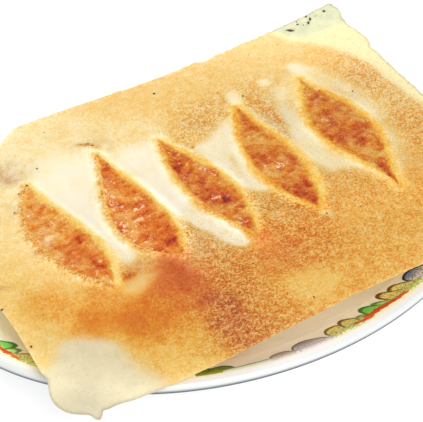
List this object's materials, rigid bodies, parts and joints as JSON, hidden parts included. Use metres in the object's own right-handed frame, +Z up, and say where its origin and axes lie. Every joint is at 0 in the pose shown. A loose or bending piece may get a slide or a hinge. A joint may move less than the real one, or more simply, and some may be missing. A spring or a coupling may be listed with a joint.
{
  "type": "winged gyoza on an oval plate",
  "caption": "Pan-fried gyoza dumplings joined by a thin crisp starch skirt, turned out with their browned bases up on an oval porcelain plate.",
  "frame": {"origin": "on the table under the middle of the plate", "axes": "+Z up; +X along the plate's long axis and the row of dumplings; each dumpling lies along Y"},
  "size_m": [0.262, 0.198, 0.0402],
  "materials": {
    "porcelain": "clear gloss glaze, with a painted border inside the rim",
    "crisp_starch": "thin crisp fried batter, fine-grained and slightly translucent",
    "fried_dough": "browned, slightly oily fried dough; pale and matt on the steamed sides"
  },
  "bodies": {
    "root": {"oval_plate": "porcelain", "crisp_skirt": "crisp_starch", "gyoza_1": "fried_dough", "gyoza_2": "fried_dough", "gyoza_3": "fried_dough", "gyoza_4": "fried_dough", "gyoza_5": "fried_dough"}
  },
  "joints": []
}
